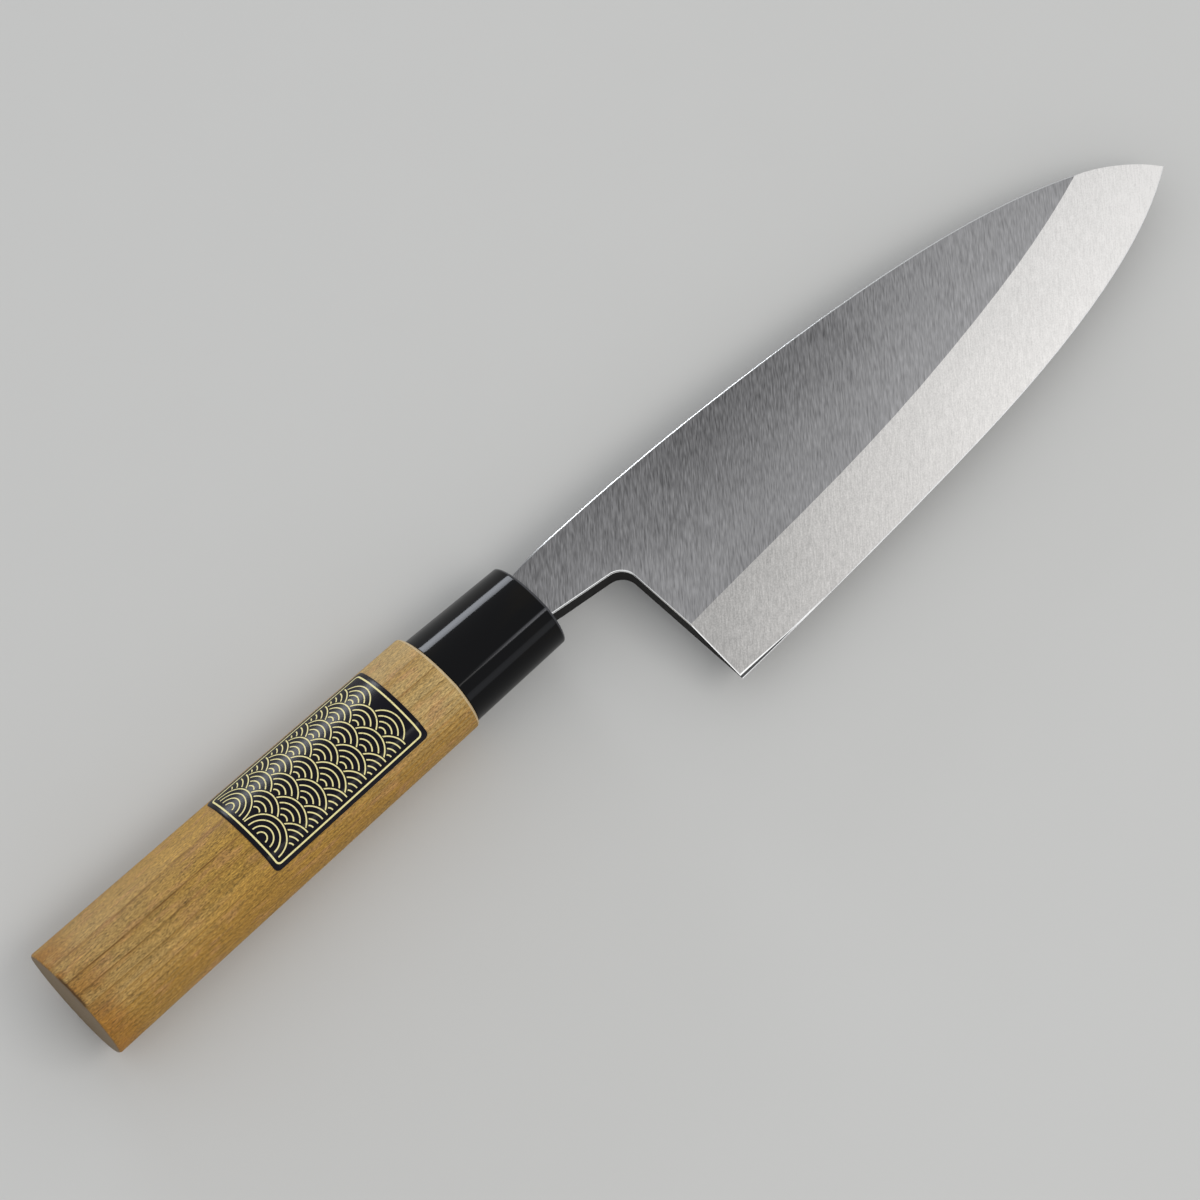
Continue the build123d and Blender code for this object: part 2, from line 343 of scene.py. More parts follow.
def heel_highlight_lines(x, y, edge):
    """1 on the two painted highlight lines at the heel: down its wall and along the last bevel's top."""
    past_heel = x - HEEL_X
    from_wall = past_heel + (y + HEEL_DROP) * HEEL_LEAN
    wall_line = from_wall.ramp(HIGHLIGHT_WIDTH + HIGHLIGHT_SOFT, HIGHLIGHT_WIDTH - HIGHLIGHT_SOFT)
    keen_top = KEEN_WIDE * past_heel.ramp(KEEN_FADE, 0) + KEEN_LEAST
    keen_line = (y - edge - keen_top).band(0.0, HIGHLIGHT_WIDTH, KEEN_SOFT)
    keen_line = keen_line * past_heel.ramp(KEEN_FADE + KEEN_END, KEEN_FADE)
    return wall_line.math("MAXIMUM", keen_line)


print(f"blade: heel at {HEEL_X} mm, {BLADE_LENGTH:.0f} mm long, edge climbs {EDGE_CLIMB} mm")

# %% [markdown]
# ## Steel tones
# Each noise stands for one kind of mark: its cells per millimetre along the stroke, across it
# and into the steel, then how much detail it has. The flat's strokes cross it on a slant. Its
# tone is mid grey, with painted reflection and painted shade in it: darker by the spine's first
# half and lighter towards the bevel and the tip. The bevel is stone ground, so it is matt and
# nearly white, and a painted reflection makes it brightest at the tip.

# %% Steel tones
STROKE_SLANT = math.radians(-50)
STROKES = (0.22, 3.2, 0.5), 3.0, STROKE_SLANT
FINE_STROKES = (0.42, 5.2, 1.0), 2.0, STROKE_SLANT
GRIT = (0.42, 3.0, 1.0), 1.0, STROKE_SLANT
STEEL_CLOUD = (0.03, 0.06, 0.05), 2.0
SPECKS = (3.0, 3.0, 3.0), 3.0
STEEL_MARKS = (STROKES, FINE_STROKES, GRIT, STEEL_CLOUD, SPECKS)

FLAT_DARK, FLAT_LIGHT = (0.120, 0.1175, 0.1185, 1), (0.54, 0.529, 0.532, 1)
FLAT_START, FLAT_SPAN, FLAT_LEAST = 0.22, 0.77, 0.23
FLAT_BY_SPINE, SPINE_REACH = 0.44, (-6, 34)
FLAT_BY_LENGTH, FLAT_AT_TIP, TIP_REACH = 0.95, 0.45, (0.78, 1.0)
FLAT_AT_HEEL, HEEL_REACH = 0.24, (30, -6)
FLAT_SHADE, SHADE_POWER, SHADE_RISE, SHADE_FALL = 0.20, 1.2, (0.08, 0.30), (0.66, 0.34)
FLAT_CLOUD, FLAT_STROKES, FLAT_FINE, FLAT_GRIT = 0.26, 0.35, 0.9, 0.9

BEVEL_HEEL, BEVEL_TIP = (0.30, 0.294, 0.288, 1), (0.893, 0.870, 0.849, 1)
BEVEL_START, BEVEL_SPAN = 0.03, 0.91
BEVEL_BY_LENGTH, BEVEL_REACH = 0.86, (-0.08, 0.90)
BEVEL_AT_EDGE, BEVEL_TIP_EDGE, EDGE_REACH = 0.07, 0.10, (22, -2)
BEVEL_CLOUD, BEVEL_FINE, BEVEL_SPECKS, BEVEL_GRIT = 0.12, 0.40, 0.50, 0.28


def steel_marks(f, vector):
    """The marks of grinding, each as a noise: strokes, fine strokes, grit, clouds and specks."""
    return [f.noise(vector, *mark) for mark in STEEL_MARKS]


def flat_colour(f, marks, past_heel, along, below_spine):
    """Mid grey with its strokes, and a painted reflection and a painted shade that drift along and across
    the flat.
    """
    strokes, fine, grit, cloud, _ = marks
    # Painted reflection: lighter away from the spine, along the length and by the heel; painted shade
    # darkens it by the spine in the blade's first half.
    from_spine = below_spine.ramp(*SPINE_REACH)
    by_length = along * FLAT_BY_LENGTH - along.ramp(*TIP_REACH) * FLAT_AT_TIP
    by_length = by_length + past_heel.ramp(*HEEL_REACH) * FLAT_AT_HEEL
    tone = from_spine * FLAT_BY_SPINE + by_length + cloud.swing(FLAT_CLOUD) - FLAT_START
    shade = (1 - from_spine).math("POWER", SHADE_POWER) * along.ramp(*SHADE_RISE) * along.ramp(*SHADE_FALL)
    tone = tone - shade * FLAT_SHADE + strokes.swing(FLAT_STROKES) + fine.swing(FLAT_FINE)
    tone = tone + grit.swing(FLAT_GRIT)
    return f.mix(tone * FLAT_SPAN + FLAT_LEAST, FLAT_DARK, FLAT_LIGHT)


def bevel_colour(f, marks, along, above_edge):
    """Nearly white with a fine even grain, and a painted reflection that makes it darker at the heel."""
    _, fine, grit, cloud, speck = marks
    by_edge = above_edge.ramp(*EDGE_REACH) * (BEVEL_AT_EDGE + along * BEVEL_TIP_EDGE)
    # Painted reflection: the bevel is darkest at the heel and brightest at the tip.
    tone = along.ramp(*BEVEL_REACH) * BEVEL_BY_LENGTH + by_edge
    tone = tone + cloud.swing(BEVEL_CLOUD) + fine.swing(BEVEL_FINE) + speck.swing(BEVEL_SPECKS)
    tone = tone + grit.swing(BEVEL_GRIT) + BEVEL_START
    return f.mix(tone * BEVEL_SPAN, BEVEL_HEEL, BEVEL_TIP)


print(len(STEEL_MARKS), "kinds of marks, strokes at", round(math.degrees(STROKE_SLANT)), "degrees")

# %% [markdown]
# ## Ground steel
# A deba is soft steel forged over hard steel, and one recipe serves both. The normal tells the
# faces apart: the flat looks along +Z, the bevel leans towards the edge, the last bevel leans
# more, and the walls look sideways. The spine's wall is ground too, while the walls at the heel
# and under the neck are painted dark, as painted shade and a painted dark reflection. The last
# bevel carries a painted white reflection with a painted dark one near the heel. The rounded
# arrises carry painted highlights, thin bright lines, all but the one along the neck.

# %% Ground steel
LOOKS_UP, LEANS, LEANS_MORE = (0.6, 0.7), (0.04, 0.075), (0.42, 0.5)
WALL_ABOVE, WALL_BELOW = (0.35, 0.1), (-0.35, -0.1)
ARRIS_TURN = 0.18, 0.94, 0.03
SPINE_ARRIS_LEAN, SPINE_ARRIS_TURN = (0.06, 0.12), (0.15, 0.18)
SPINE_SIDE_ARRIS, SPINE_SIDE_WALL, DARK_WALL = (-0.1, 0.1), (0.2, 0.6), (0.6, 0.2)
NECK_REACH, SPINE_FADE, KEEN_SHADED = (144, 132), (0.20, 0.45), (0.12, 0.2)

KEEN_HIGHLIGHT, KEEN_DARK_REFLECTION = (0.85, 0.85, 0.85, 1), (0.07, 0.07, 0.07, 1)
WALL_PAINTED_DARK = (0.032, 0.031, 0.030, 1)
SPINE_WALL_DARK, SPINE_WALL_LIGHT = (0.26, 0.256, 0.25, 1), (0.46, 0.454, 0.446, 1)
ARRIS_HIGHLIGHT = (0.85, 0.85, 0.85, 1)
SPINE_HIGHLIGHT, SPINE_HIGHLIGHT_FADED = (0.92, 0.92, 0.92, 1), (0.68, 0.68, 0.68, 1)
NECK_GREY = (0.20, 0.20, 0.20, 1)

STEEL_ROUGH, BEVEL_ROUGHER, MATT_ROUGHER, STROKES_ROUGHER = 0.34, 0.20, 0.45, 0.06
ARRIS_SMOOTHER, KEEN_SMOOTHER = 0.12, 0.2
STROKE_RELIEF, FINE_RELIEF, RELIEF_MM = 0.6, 0.4, 0.005


def ground_steel(name):
    """Steel whose flat, bevel, walls and arrises each carry the marks of their own grinding, with painted
    highlights, reflections and shade on them.
    """
    f = Finish(name)
    vector, x, y, _ = f.place()
    _, ny, nz = f.facing()
    along, spine, edge = blade_lines(x)
    marks = steel_marks(f, vector)
    strokes, fine = marks[:2]
    past_heel, above_edge = x - HEEL_X, y - edge
    at_neck = x.ramp(*NECK_REACH)
    leaning = (ny * -1).ramp(*LEANS) * nz.ramp(*LOOKS_UP)
    keen = (ny * -1).ramp(*LEANS_MORE) * nz.ramp(*LOOKS_UP)
    wall = nz.ramp(*WALL_ABOVE) * nz.ramp(*WALL_BELOW)
    spine_arris = ny.ramp(*SPINE_ARRIS_LEAN) * nz.ramp(*SPINE_ARRIS_TURN)
    arris = nz.band(*ARRIS_TURN).math("MAXIMUM", spine_arris) * (1 - leaning)

    flat = flat_colour(f, marks, past_heel, along, spine - y)
    tone = f.mix(leaning, flat, bevel_colour(f, marks, along, above_edge))
    # Painted highlight: thin bright lines down the heel's wall and along the last bevel's top.
    tone = f.mix(heel_highlight_lines(x, y, edge) * leaning, tone, ARRIS_HIGHLIGHT)
    # Painted reflection on the last bevel: a white highlight, with a painted dark reflection just above
    # the edge near the heel.
    shaded = past_heel.ramp(KEEN_FADE, KEEN_FADE - KEEN_END) * above_edge.ramp(*KEEN_SHADED)
    tone = f.mix(keen, tone, f.mix(shaded, KEEN_HIGHLIGHT, KEEN_DARK_REFLECTION))
    spine_wall = f.mix(strokes, SPINE_WALL_DARK, SPINE_WALL_LIGHT)
    # Painted shade: the walls at the heel and under the neck are painted dark, while the spine's wall
    # keeps its ground grey.
    tone = f.mix(wall, tone, f.mix(ny.ramp(*SPINE_SIDE_WALL), WALL_PAINTED_DARK, spine_wall))
    # Painted highlights: thin bright lines on the arrises, fading along the spine and grey at the neck.
    spine_highlight = f.mix(along.ramp(*SPINE_FADE), SPINE_HIGHLIGHT, SPINE_HIGHLIGHT_FADED)
    spine_highlight = f.mix(at_neck, spine_highlight, NECK_GREY)
    tone = f.mix(arris, tone, f.mix(ny.ramp(*SPINE_SIDE_ARRIS), ARRIS_HIGHLIGHT, spine_highlight))

    matt = (wall * ny.ramp(*DARK_WALL)).math("MAXIMUM", spine_arris * at_neck)
    rough = STEEL_ROUGH + leaning * BEVEL_ROUGHER + matt * MATT_ROUGHER
    rough = rough - arris * ARRIS_SMOOTHER - keen * KEEN_SMOOTHER + strokes.swing(STROKES_ROUGHER)
    normal = f.bump(strokes * STROKE_RELIEF + fine * FINE_RELIEF, RELIEF_MM)
    return f.shade(Base_Color=tone, Metallic=1.0, Roughness=rough, Normal=normal)


wear(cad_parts["blade_cladding"], ground_steel("soft_steel_ground"))
wear(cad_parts["edge_steel"], ground_steel("hard_steel_ground"))

# %% [markdown]
# ## The handle's section
# Wood and ferrule share one section, like a chestnut: a full crown, a soft ridge, a steeper
# flank and a round belly. It is three arcs whose corners are rounded by three smaller arcs.
# All six meet without a kink, so the way the surface faces turns steadily once round it. That
# angle is the best parameter for it: each angle picks its arc, and the point is the arc's
# centre plus its radius along that direction. Growing the section only grows the radii.

# %% The handle's section
RIDGE_SHARE = -0.27
CROWN_BULGE_SHARE = 0.18
FLANK_BULGE_SHARE = 0.14
SPINE_ROUND_SHARE = 0.22
RIDGE_ROUND_SHARE = 0.06
FLANK_ROUND_SHARE = 0.16
COLUMNS = 240
ANGLES = np.linspace(0, 2 * np.pi, COLUMNS, endpoint=False)
FACING = np.stack([np.cos(ANGLES), np.sin(ANGLES)], -1)


def arc_through(first, middle, last):
    """Centre and radius of the circle through three points, from two lines of equal distance."""
    rows = 2 * np.array([np.subtract(middle, first), np.subtract(last, first)])
    sums = np.array([np.dot(p, p) - np.dot(first, first) for p in (middle, last)])
    centre = np.linalg.solve(rows, sums)
    return centre, np.hypot(*(centre - first))


def bulged(start, end, share):
    """The arc from start to end that stands off its chord by a share of the chord."""
    chord = np.subtract(end, start)
    middle = np.add(start, end) / 2 + share * np.array([chord[1], -chord[0]])
    return arc_through(np.array(start), middle, np.array(end))


def corner_round(one, other, radius, corner):
    """Centre of a small arc inside two arcs: it lies at each radius less its own from their centres."""
    (a, ra), (b, rb) = one, other
    reach_a, reach_b = ra - radius, rb - radius
    between = np.hypot(*(b - a))
    step = (reach_a**2 - reach_b**2 + between**2) / (2 * between)
    side = math.sqrt(reach_a**2 - step**2)
    way = (b - a) / between
    across = side * np.array([-way[1], way[0]])
    middle = a + step * way
    return min((middle + across, middle - across), key=lambda p: np.hypot(*(p - corner)))


def chestnut(width, thickness, drop):
    """Section points, one row of (y, z) for each angle in ANGLES."""
    spine_side = np.array([width / 2 - drop, 0])
    ridge = np.array([RIDGE_SHARE * width - drop, thickness / 2])
    flank_side = np.array([-width / 2 - drop, 0])
    crown = bulged(spine_side, ridge, CROWN_BULGE_SHARE)
    flank = bulged(ridge, flank_side, FLANK_BULGE_SHARE)
    belly = arc_through(flank_side, np.array([-drop, -thickness / 2]), spine_side)
    corners = [
        (belly, crown, SPINE_ROUND_SHARE * width, spine_side),
        (crown, flank, RIDGE_ROUND_SHARE * width, ridge),
        (flank, belly, FLANK_ROUND_SHARE * width, flank_side),
    ]
    centres, radii, starts = [], [], []
    for before, after, radius, corner in corners:
        centre = corner_round(before, after, radius, corner)
        for arc_centre, arc_radius, away in ((centre, radius, before), (after[0], after[1], after)):
            facing = centre - away[0]
            centres.append(arc_centre)
            radii.append(arc_radius)
            starts.append(math.atan2(facing[1], facing[0]) % (2 * np.pi))
    centres, radii, starts = np.array(centres), np.array(radii), np.array(starts)
    turned = (ANGLES - starts[0]) % (2 * np.pi)
    which = np.searchsorted((starts - starts[0]) % (2 * np.pi), turned, side="right") - 1
    return centres[which] + radii[which, None] * FACING


def swept(near, far, share, growth):
    """Section this share of the way from near to far, grown outwards by a length."""
    return near + (far - near) * share + growth * FACING


def ring(x, outline):
    """A section's (y, z) points set up at x."""
    return np.column_stack([np.full(COLUMNS, x), outline])


print("chestnut section:", COLUMNS, "points, each", round(360 / COLUMNS, 2), "degrees of turn apart")

# %% [markdown]
# ## A skin over rings
# Rings of the same number of points are joined by quads, and each end is closed by a fan to
# the middle of its last ring. With the rings running towards +X and the points turning from Y
# to Z, every face looks outwards. The volume of the cones under its faces proves it: it comes
# out positive only when they do.


# %% A skin over rings
def skin(name, rings):
    """Closed object from rings of shape (rows, columns, 3), in millimetres."""
    rings = np.asarray(rings, float) * MM
    rows, columns = rings.shape[:2]
    index = np.arange(rows * columns).reshape(rows, columns)
    near, far = index[:-1], index[1:]
    quads = np.stack([near, np.roll(near, -1, 1), np.roll(far, -1, 1), far], -1).reshape(-1, 4)
    first, last = index[0], index[-1]
    start_point, end_point = rows * columns, rows * columns + 1
    fans = np.concatenate([
        np.column_stack([np.full(columns, start_point), np.roll(first, -1), first]),
        np.column_stack([np.full(columns, end_point), last, np.roll(last, -1)]),
    ])
    points = np.concatenate([rings.reshape(-1, 3), [rings[0].mean(0), rings[-1].mean(0)]])
    mesh = bpy.data.meshes.new(name)
    mesh.from_pydata(points.tolist(), [], quads.tolist() + fans.tolist())
    mesh.polygons.foreach_set("use_smooth", np.ones(len(mesh.polygons), bool))
    obj = bpy.data.objects.new(name, mesh)
    bpy.context.scene.collection.objects.link(obj)
    corners = [points[fans], points[quads[:, :3]], points[quads[:, [0, 2, 3]]]]
    solid = sum(np.einsum("ij,ij->", c[:, 0], np.cross(c[:, 1], c[:, 2])) for c in corners) / 6
    print(f"{name}: {len(mesh.vertices)} points, {solid / MM**3:.0f} mm3")
    return obj


def eased_end(x, ease, inward, steps=8):
    """Places and growths along a quarter round at an end face, from the face to the side."""
    turns = np.linspace(0, np.pi / 2, steps)
    return [(x + inward * ease * (1 - math.cos(t)), ease * (math.sin(t) - 1)) for t in turns]


# %% [markdown]
# ## Wooden handle
# The real one is turned and planed magnolia. Its body is ruled straight from the butt's section
# to the mouth's, so both ends' points are joined in a straight line, and a quarter round eases
# each rim. A few extra rings near the rims keep the flat end faces flat where they are shaded.
# The butt is drawn a hair under its 29 by 23.8 mm: this skin is finer than the frame's facets,
# and so it still fits inside their box.

# %% Wooden handle
GRIP_LENGTH = 102.5
BUTT_WIDTH, BUTT_THICKNESS, BUTT_EASE = 28.97, 23.799, 0.7
MOUTH_WIDTH, MOUTH_THICKNESS, MOUTH_EASE = 26.2, 22.4, 1.0
FACE_RIM = 0.4
RIM_CLEAR, GRIP_RINGS = 4, 20

butt_section = chestnut(BUTT_WIDTH, BUTT_THICKNESS, 0)
mouth_section = chestnut(MOUTH_WIDTH, MOUTH_THICKNESS, 0)


def grip_outline(x, growth):
    """The wood's section at x, grown outwards."""
    return swept(butt_section, mouth_section, x / GRIP_LENGTH, growth)


places = [(0, -BUTT_EASE - FACE_RIM)]
places += eased_end(0, BUTT_EASE, 1)
places += [(x, 0) for x in np.linspace(RIM_CLEAR, GRIP_LENGTH - RIM_CLEAR, GRIP_RINGS)]
places += eased_end(GRIP_LENGTH, MOUTH_EASE, -1)[::-1]
places += [(GRIP_LENGTH, -MOUTH_EASE - FACE_RIM)]
grip_wood = skin("grip_wood", [ring(x, grip_outline(x, growth)) for x, growth in places])
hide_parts("grip")
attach(grip_wood, "root")

# %% [markdown]
# ## Wood finish
# Wood is solid, so its pattern is made in space and every face cuts the same rings. The yearly
# rings are tubes round the tree's pith, which lay outside this piece, below its edge's side. The
# crown cuts them at a shallow angle, so their lines stand far apart on the spine's side and
# crowd together on the other, and the end shows them as arcs. A slow noise bends them a little.
# Long thin noise gives the fibres, and warm patches gather where hands and oil have been.

# %% Wood finish
RING_SPACING, RING_START, RING_TAPER = 1.21, 35.40, 0.0105
PITH_Y, PITH_Z = -16.0, -18.0
SWAY, SWAY_NOISE = 0.8, ((0.012, 0.05, 0.05), 2.0)
WANDER, WANDER_NOISE = 0.10, ((0.10, 0.5, 0.5), 2.0)
LINE_RISE, LINE_FALL = (0.87, 0.94), (1.0, 0.96)
LATE_RISE, LATE_FALL = (0.40, 0.95), (1.0, 0.97)
YEAR_STEP, YEAR_START = 0.32, 0.62


def year_rings(f, vector, x, y, z):
    """The thin dark line that ends each year's ring, the darker wood before it, and the year."""
    sway = f.noise(vector, *SWAY_NOISE)
    wander = f.noise(vector, *WANDER_NOISE)
    off_y, off_z = y - PITH_Y, z - PITH_Z
    from_pith = (off_y * off_y + off_z * off_z).math("SQRT")
    place = from_pith - RING_START + x * RING_TAPER
    place = (place + sway.swing(SWAY) + wander.swing(WANDER)) / RING_SPACING
    turn = place % 1.0
    line = turn.ramp(*LINE_RISE) * turn.ramp(*LINE_FALL)
    late_wood = turn.ramp(*LATE_RISE) * turn.ramp(*LATE_FALL)
    return line, late_wood, (place.math("FLOOR") * YEAR_STEP + YEAR_START) % 1.0


print(f"yearly rings {RING_SPACING} mm apart, pith at y {PITH_Y:.0f}, z {PITH_Z:.0f} mm")

# %% [markdown]
# ## Wood colours
# The body goes from light at the butt through yellow to pale at the mouth, and the sides are
# warmer than the crown. The butt has taken up a stain in patches. Pairs in millimetres say where
# each of these begins and is complete, and single numbers say how strong it is.

# %% Wood colours
FIBRE, PORE, FIGURE = ((0.14, 2.6, 2.6), 5.0), ((0.40, 4.0, 4.0), 2.0), ((0.9, 2.6, 2.6), 5.0)
BLOTCH, FLUSH, GRAIN = ((0.035, 0.12, 0.12), 3.0), ((0.13, 0.45, 0.45), 3.0), ((1.5, 5.0, 5.0), 1.0)
PATCH, BREAKS = ((0.10, 0.16, 0.16), 2.0), ((0.22, 1.0, 1.0), 3.0)

WOOD_LIGHT, WOOD_YELLOW = (0.382, 0.240, 0.078, 1), (0.388, 0.220, 0.039, 1)
WOOD_PALE, WOOD_WARM = (0.432, 0.296, 0.118, 1), (0.300, 0.160, 0.028, 1)
WOOD_PINK, WOOD_LINE = (0.420, 0.215, 0.090, 1), (0.160, 0.072, 0.013, 1)
BUTT_ORANGE, RIM_DARK_SPOT = (0.290, 0.122, 0.014, 1), (0.035, 0.014, 0.006, 1)
END_GRAIN_AND_SHADE, MOUTH_RIM_HIGHLIGHT = (0.190, 0.140, 0.080, 1), (0.620, 0.500, 0.320, 1)

YELLOW_REACH, YELLOW_SHARE, PALE_REACH = (10, 46), 0.9, (55, 98)
EDGE_WARM, EDGE_SIDE, SPINE_WARM, SPINE_SIDE = 0.70, (-7, -14), 0.8, (11.5, 13.8)
BLOTCH_WARM, FIBRE_WARM, LATE_WARM, WARM_START = 0.9, 1.0, 0.42, 0.04
FLUSH_EDGE, FLUSH_SHARE = (0.50, 0.72), 0.5
STAIN_REACH, STAIN_EDGE, STAIN_SHARE = (11, 0.5), (0.34, 0.56), 0.75
STAIN_RIM_REACH, STAIN_RIM_EDGE = (3.2, 0.4), (0.36, 0.6)
CROWN_SHADE, CROWN_FACING, CROWN_REACH = 0.13, (0.78, 0.97), (85, 50)
BRIGHTNESS, FIGURE_PLAY, FIBRE_PLAY, GRAIN_PLAY = 1.065, 0.6, 1.3, 1.9


def wood_body(f, vector, x, y, nz, late_wood, fibre, figure):
    """Colour of the wood without its dark lines."""
    blotch = f.noise(vector, *BLOTCH)
    flush = f.noise(vector, *FLUSH)
    grain = f.noise(vector, *GRAIN)
    stain = x.ramp(*STAIN_REACH) * f.noise(vector, *PATCH).ramp(*STAIN_EDGE)
    stain = stain.math("MAXIMUM", x.ramp(*STAIN_RIM_REACH) * flush.ramp(*STAIN_RIM_EDGE))
    side_warm = y.ramp(*EDGE_SIDE) * EDGE_WARM + y.ramp(*SPINE_SIDE) * SPINE_WARM
    warm = side_warm + blotch.swing(BLOTCH_WARM) + fibre.swing(FIBRE_WARM) + late_wood * LATE_WARM
    tone = f.mix(x.ramp(*YELLOW_REACH) * YELLOW_SHARE, WOOD_LIGHT, WOOD_YELLOW)
    tone = f.mix(x.ramp(*PALE_REACH), tone, WOOD_PALE)
    tone = f.mix(warm + WARM_START, tone, WOOD_WARM)
    tone = f.mix(flush.ramp(*FLUSH_EDGE) * FLUSH_SHARE, tone, WOOD_PINK)
    tone = f.mix(stain * STAIN_SHARE, tone, BUTT_ORANGE)
    crown_shade = nz.ramp(*CROWN_FACING) * x.ramp(*CROWN_REACH) * CROWN_SHADE
    texture = figure.swing(FIGURE_PLAY) + fibre.swing(FIBRE_PLAY) + grain.swing(GRAIN_PLAY)
    return f.scale(tone, BRIGHTNESS - crown_shade + texture)


print("wood goes from", WOOD_LIGHT[:3], "by", WOOD_YELLOW[:3], "to", WOOD_PALE[:3])

# %% [markdown]
# ## Bare wood
# The dark ring lines and the pores are laid over the body's colour. The lines are broken here
# and there, and some years are fainter than others. The end face shows grey end grain inside a
# pale rim, darker than the sides partly as painted shade, and one spot of that rim is darker.
# The rim at the mouth is paler, a painted highlight.

# %% Bare wood
LINE_LEAST, LINE_BY_X, LINE_REACH = 0.35, 0.45, (100, 25)
YEAR_LEAST, YEAR_MORE = 0.4, 0.9
BREAK_LEAST, BREAK_MORE, BREAK_EDGE = 0.45, 0.60, (0.34, 0.58)
PORE_EDGE, PORE_SHARE = (0.54, 0.70), 0.17
END_FACING, END_LINES, END_LATE = (-0.6, -0.95), 0.6, 0.25
END_PORE_EDGE, END_PORES = (0.5, 0.7), 0.3
RIM_FACING, RIM_SHARE = (0.35, 0.93, 0.1), 0.6
DARK_SPOT_X, DARK_SPOT_Y, DARK_SPOT_Z = (1.0, 0.2), (-5, 2.5, 2), (7, 10)
DARK_SPOT_SHARE, DARK_SPOT_LESS = 0.9, 0.75
WOOD_ROUGH, FIBRE_ROUGH, WOOD_GLOSS, WOOD_RELIEF_MM = 0.55, 0.12, 0.22, 0.06
FIBRE_RELIEF, PORE_RELIEF, LINE_RELIEF, FIGURE_RELIEF = 0.5, 0.3, 0.3, 0.2


def bare_wood():
    """Straight-grained wood: ring lines, fibres, pores and warm patches in one solid."""
    f = Finish("magnolia_bare")
    vector, x, y, z = f.place()
    nx, _, nz = f.facing()
    line, late_wood, year = year_rings(f, vector, x, y, z)
    fibre = f.noise(vector, *FIBRE)
    pore = f.noise(vector, *PORE)
    figure = f.noise(vector, *FIGURE)
    tone = wood_body(f, vector, x, y, nz, late_wood, fibre, figure)

    broken = f.noise(vector, *BREAKS).ramp(*BREAK_EDGE)
    faint = LINE_LEAST + x.ramp(*LINE_REACH) * LINE_BY_X
    faint = faint * (YEAR_LEAST + year * YEAR_MORE) * (BREAK_LEAST + broken * BREAK_MORE)
    tone = f.mix(line * faint + pore.ramp(*PORE_EDGE) * PORE_SHARE, tone, WOOD_LINE)
    end_face = nx.ramp(*END_FACING)
    end_marks = line * END_LINES + late_wood * END_LATE + pore.ramp(*END_PORE_EDGE) * END_PORES
    # Partly painted shade: the end face is darker and greyer than the sides, as end grain and as shade.
    tone = f.mix(end_face, tone, f.mix(end_marks, END_GRAIN_AND_SHADE, WOOD_LINE))
    # Painted highlight: the rim at the mouth is paler.
    tone = f.mix(nx.band(*RIM_FACING) * RIM_SHARE, tone, MOUTH_RIM_HIGHLIGHT)
    # A darker spot on the butt's top rim, kept mostly off the end face.
    dark_spot = x.ramp(*DARK_SPOT_X) * y.band(*DARK_SPOT_Y) * z.ramp(*DARK_SPOT_Z)
    tone = f.mix(dark_spot * (DARK_SPOT_SHARE - end_face * DARK_SPOT_LESS), tone, RIM_DARK_SPOT)

    relief = fibre * FIBRE_RELIEF + pore * PORE_RELIEF - line * LINE_RELIEF + figure * FIGURE_RELIEF
    return f.shade(
        Base_Color=tone, Roughness=WOOD_ROUGH + fibre.swing(FIBRE_ROUGH),
        Normal=f.bump(relief, WOOD_RELIEF_MM), Specular_IOR_Level=WOOD_GLOSS,
    )


wear(grip_wood, bare_wood())

# %% [markdown]
# ## Ferrule
# The ferrule is a cap of polished black horn over the wood's tenon. The neck leaves it through
# a slot that is filled a little below the face, so the skin turns in at the slot before it
# closes. The slot is a rounded rectangle, and it takes the same angles as the section: each
# direction picks the corner it points into.

# %% Ferrule
FERRULE_LENGTH = 25.8
BACK_WIDTH, BACK_THICKNESS, BACK_DROP, BACK_EASE = 23.8, 20.4, 0.4, 0.3
FRONT_WIDTH, FRONT_THICKNESS, FRONT_DROP, FRONT_EASE = 22.3, 19.2, 0.75, 0.8
SLOT_HEIGHT, SLOT_WIDTH, SLOT_CORNER, SLOT_MIDDLE = 13.3, 6.8, 2.04, -0.35
SLOT_DEPTH, SLOT_RIM, SLOT_LIP, SLOT_FLOOR = 1.5, 0.3, 0.12, 0.1
BACK_CLEAR, NOSE_CLEAR, HORN_RINGS, NOSE_STEPS = 1, 1.5, 12, 14
NOSE_X = GRIP_LENGTH + FERRULE_LENGTH

back_section = chestnut(BACK_WIDTH, BACK_THICKNESS, BACK_DROP)
front_section = chestnut(FRONT_WIDTH, FRONT_THICKNESS, FRONT_DROP)
half_slot = np.array([SLOT_HEIGHT, SLOT_WIDTH]) / 2
slot_outline = np.sign(FACING + 1e-9) * (half_slot - SLOT_CORNER) + SLOT_CORNER * FACING
slot_outline[:, 0] += SLOT_MIDDLE


def ferrule_outline(x, growth):
    """The ferrule's section at x, grown outwards."""
    return swept(back_section, front_section, (x - GRIP_LENGTH) / FERRULE_LENGTH, growth)


